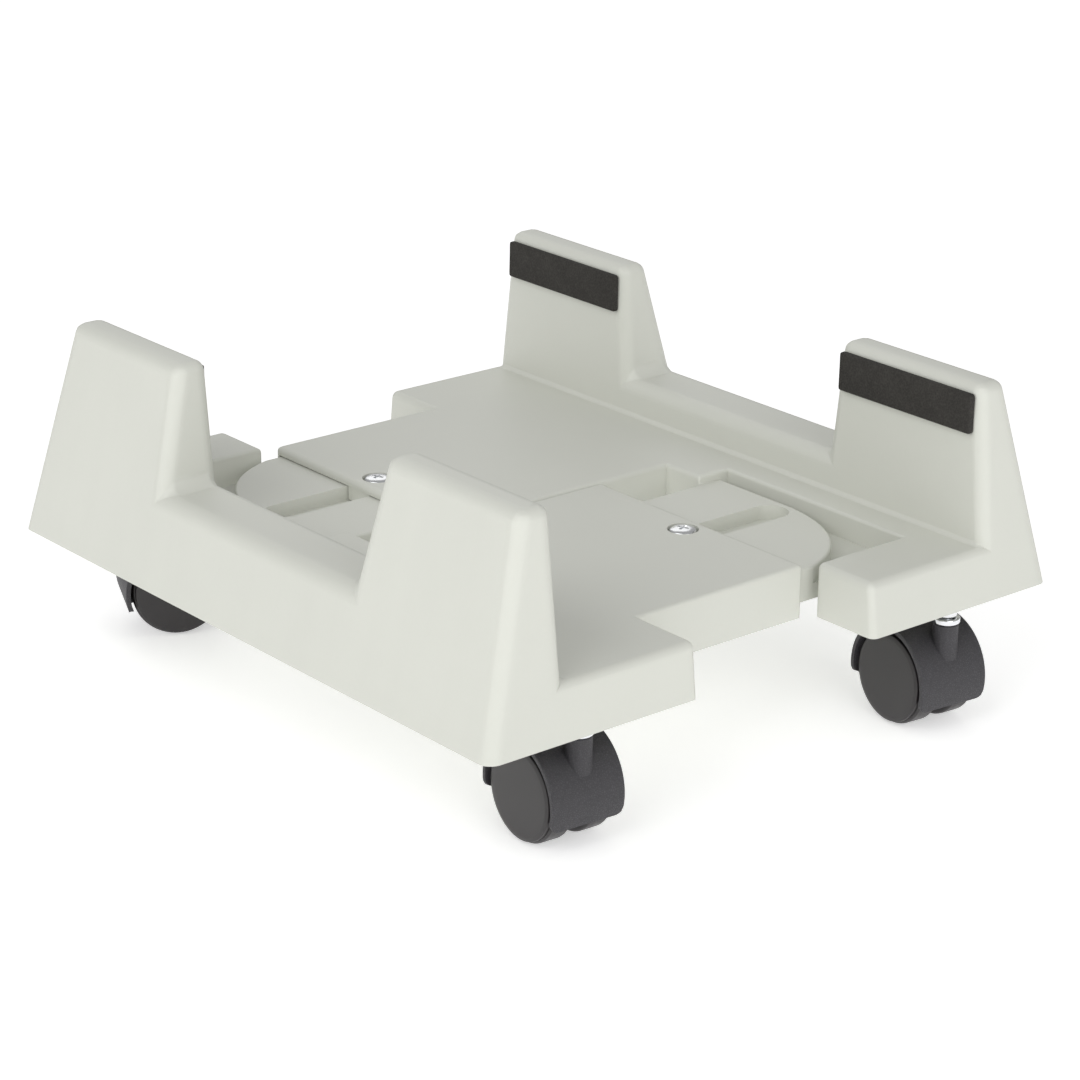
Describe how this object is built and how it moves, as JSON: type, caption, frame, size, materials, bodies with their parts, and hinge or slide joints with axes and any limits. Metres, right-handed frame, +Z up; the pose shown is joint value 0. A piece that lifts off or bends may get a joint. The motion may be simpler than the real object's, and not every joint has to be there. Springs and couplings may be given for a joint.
{
  "type": "computer tower stand",
  "caption": "Rolling stand for a computer tower: two interlocking plastic halves that slide apart to set the width, with foam-lined corner posts, on swivelling twin-wheel casters.",
  "frame": {"origin": "on the floor, under the middle of the bounding box of the stand as pictured, with the slide at its stored width", "axes": "+X along the slide, from the left half to the right half; +Y along the rails, from the front end to the back end; +Z up from the floor"},
  "size_m": [0.2386, 0.261, 0.1158],
  "materials": {
    "grey_body": "fine satin moulding, warm light grey",
    "foam_pad": "matt closed-cell foam with a fine skin",
    "wheel_plastic": "charcoal nylon, satin",
    "hood_plastic": "charcoal plastic with a fine leather grain",
    "chrome_collar": "bright plated",
    "zinc_fastener": "zinc-plated steel",
    "nylon_bush": "natural nylon"
  },
  "bodies": {
    "left_half": {"left_rail": "grey_body", "left_deck": "grey_body", "left_tongue": "grey_body", "left_front_pad": "foam_pad", "left_back_pad": "foam_pad", "left_clamp_washer": "zinc_fastener", "left_clamp_nut": "zinc_fastener", "left_front_caster_stem": "zinc_fastener", "left_front_caster_collar": "chrome_collar", "left_front_caster_bush": "nylon_bush", "left_back_caster_stem": "zinc_fastener", "left_back_caster_collar": "chrome_collar", "left_back_caster_bush": "nylon_bush"},
    "right_half": {"right_rail": "grey_body", "right_deck": "grey_body", "right_tongue": "grey_body", "right_front_pad": "foam_pad", "right_back_pad": "foam_pad", "right_clamp_washer": "zinc_fastener", "right_clamp_nut": "zinc_fastener", "right_front_caster_stem": "zinc_fastener", "right_front_caster_collar": "chrome_collar", "right_front_caster_bush": "nylon_bush", "right_back_caster_stem": "zinc_fastener", "right_back_caster_collar": "chrome_collar", "right_back_caster_bush": "nylon_bush"},
    "left_screw": {"left_clamp_screw": "zinc_fastener"},
    "right_screw": {"right_clamp_screw": "zinc_fastener"},
    "left_front_caster": {"left_front_caster_hood": "hood_plastic", "left_front_caster_axle": "zinc_fastener"},
    "left_front_caster_wheel_a": {"left_front_caster_wheel_a": "wheel_plastic", "left_front_caster_cap_a": "wheel_plastic"},
    "left_front_caster_wheel_b": {"left_front_caster_wheel_b": "wheel_plastic", "left_front_caster_cap_b": "wheel_plastic"},
    "left_back_caster": {"left_back_caster_hood": "hood_plastic", "left_back_caster_axle": "zinc_fastener"},
    "left_back_caster_wheel_a": {"left_back_caster_wheel_a": "wheel_plastic", "left_back_caster_cap_a": "wheel_plastic"},
    "left_back_caster_wheel_b": {"left_back_caster_wheel_b": "wheel_plastic", "left_back_caster_cap_b": "wheel_plastic"},
    "right_front_caster": {"right_front_caster_hood": "hood_plastic", "right_front_caster_axle": "zinc_fastener"},
    "right_front_caster_wheel_a": {"right_front_caster_wheel_a": "wheel_plastic", "right_front_caster_cap_a": "wheel_plastic"},
    "right_front_caster_wheel_b": {"right_front_caster_wheel_b": "wheel_plastic", "right_front_caster_cap_b": "wheel_plastic"},
    "right_back_caster": {"right_back_caster_hood": "hood_plastic", "right_back_caster_axle": "zinc_fastener"},
    "right_back_caster_wheel_a": {"right_back_caster_wheel_a": "wheel_plastic", "right_back_caster_cap_a": "wheel_plastic"},
    "right_back_caster_wheel_b": {"right_back_caster_wheel_b": "wheel_plastic", "right_back_caster_cap_b": "wheel_plastic"}
  },
  "joints": [
    {"name": "width_slide", "type": "slide", "parent": "left_half", "child": "right_half", "axis": [1, 0, 0], "range_m": [-0.03, 0.032]},
    {"name": "left_clamp_turn", "type": "hinge", "parent": "left_half", "child": "left_screw", "pos_m": [0.0243, -0.05443, 0.061], "axis": [0, 0, 1], "range_deg": [0, 270]},
    {"name": "right_clamp_turn", "type": "hinge", "parent": "right_half", "child": "right_screw", "pos_m": [-0.0243, 0.04737, 0.061], "axis": [0, 0, 1], "range_deg": [0, 270]},
    {"name": "left_front_swivel", "type": "hinge", "parent": "left_half", "child": "left_front_caster", "pos_m": [-0.0729, -0.11643, 0.03], "axis": [0, 0, 1], "continuous": true},
    {"name": "left_front_wheel_a_spin", "type": "hinge", "parent": "left_front_caster", "child": "left_front_caster_wheel_a", "pos_m": [-0.07202, -0.10381, 0.0161], "axis": [0.9976, -0.0698, 0], "continuous": true},
    {"name": "left_front_wheel_b_spin", "type": "hinge", "parent": "left_front_caster", "child": "left_front_caster_wheel_b", "pos_m": [-0.07202, -0.10381, 0.0161], "axis": [0.9976, -0.0698, 0], "continuous": true},
    {"name": "left_back_swivel", "type": "hinge", "parent": "left_half", "child": "left_back_caster", "pos_m": [-0.0788, 0.11577, 0.03], "axis": [0, 0, 1], "continuous": true},
    {"name": "left_back_wheel_a_spin", "type": "hinge", "parent": "left_back_caster", "child": "left_back_caster_wheel_a", "pos_m": [-0.06734, 0.11042, 0.0161], "axis": [-0.4226, -0.9063, 0], "continuous": true},
    {"name": "left_back_wheel_b_spin", "type": "hinge", "parent": "left_back_caster", "child": "left_back_caster_wheel_b", "pos_m": [-0.06734, 0.11042, 0.0161], "axis": [-0.4226, -0.9063, 0], "continuous": true},
    {"name": "right_front_swivel", "type": "hinge", "parent": "right_half", "child": "right_front_caster", "pos_m": [0.0788, -0.12283, 0.03], "axis": [0, 0, 1], "continuous": true},
    {"name": "right_front_wheel_a_spin", "type": "hinge", "parent": "right_front_caster", "child": "right_front_caster_wheel_a", "pos_m": [0.08012, -0.11025, 0.0161], "axis": [0.9945, -0.1045, 0], "continuous": true},
    {"name": "right_front_wheel_b_spin", "type": "hinge", "parent": "right_front_caster", "child": "right_front_caster_wheel_b", "pos_m": [0.08012, -0.11025, 0.0161], "axis": [0.9945, -0.1045, 0], "continuous": true},
    {"name": "right_back_swivel", "type": "hinge", "parent": "right_half", "child": "right_back_caster", "pos_m": [0.0729, 0.10937, 0.03], "axis": [0, 0, 1], "continuous": true},
    {"name": "right_back_wheel_a_spin", "type": "hinge", "parent": "right_back_caster", "child": "right_back_caster_wheel_a", "pos_m": [0.06963, 0.09715, 0.0161], "axis": [-0.9659, 0.2588, 0], "continuous": true},
    {"name": "right_back_wheel_b_spin", "type": "hinge", "parent": "right_back_caster", "child": "right_back_caster_wheel_b", "pos_m": [0.06963, 0.09715, 0.0161], "axis": [-0.9659, 0.2588, 0], "continuous": true}
  ]
}
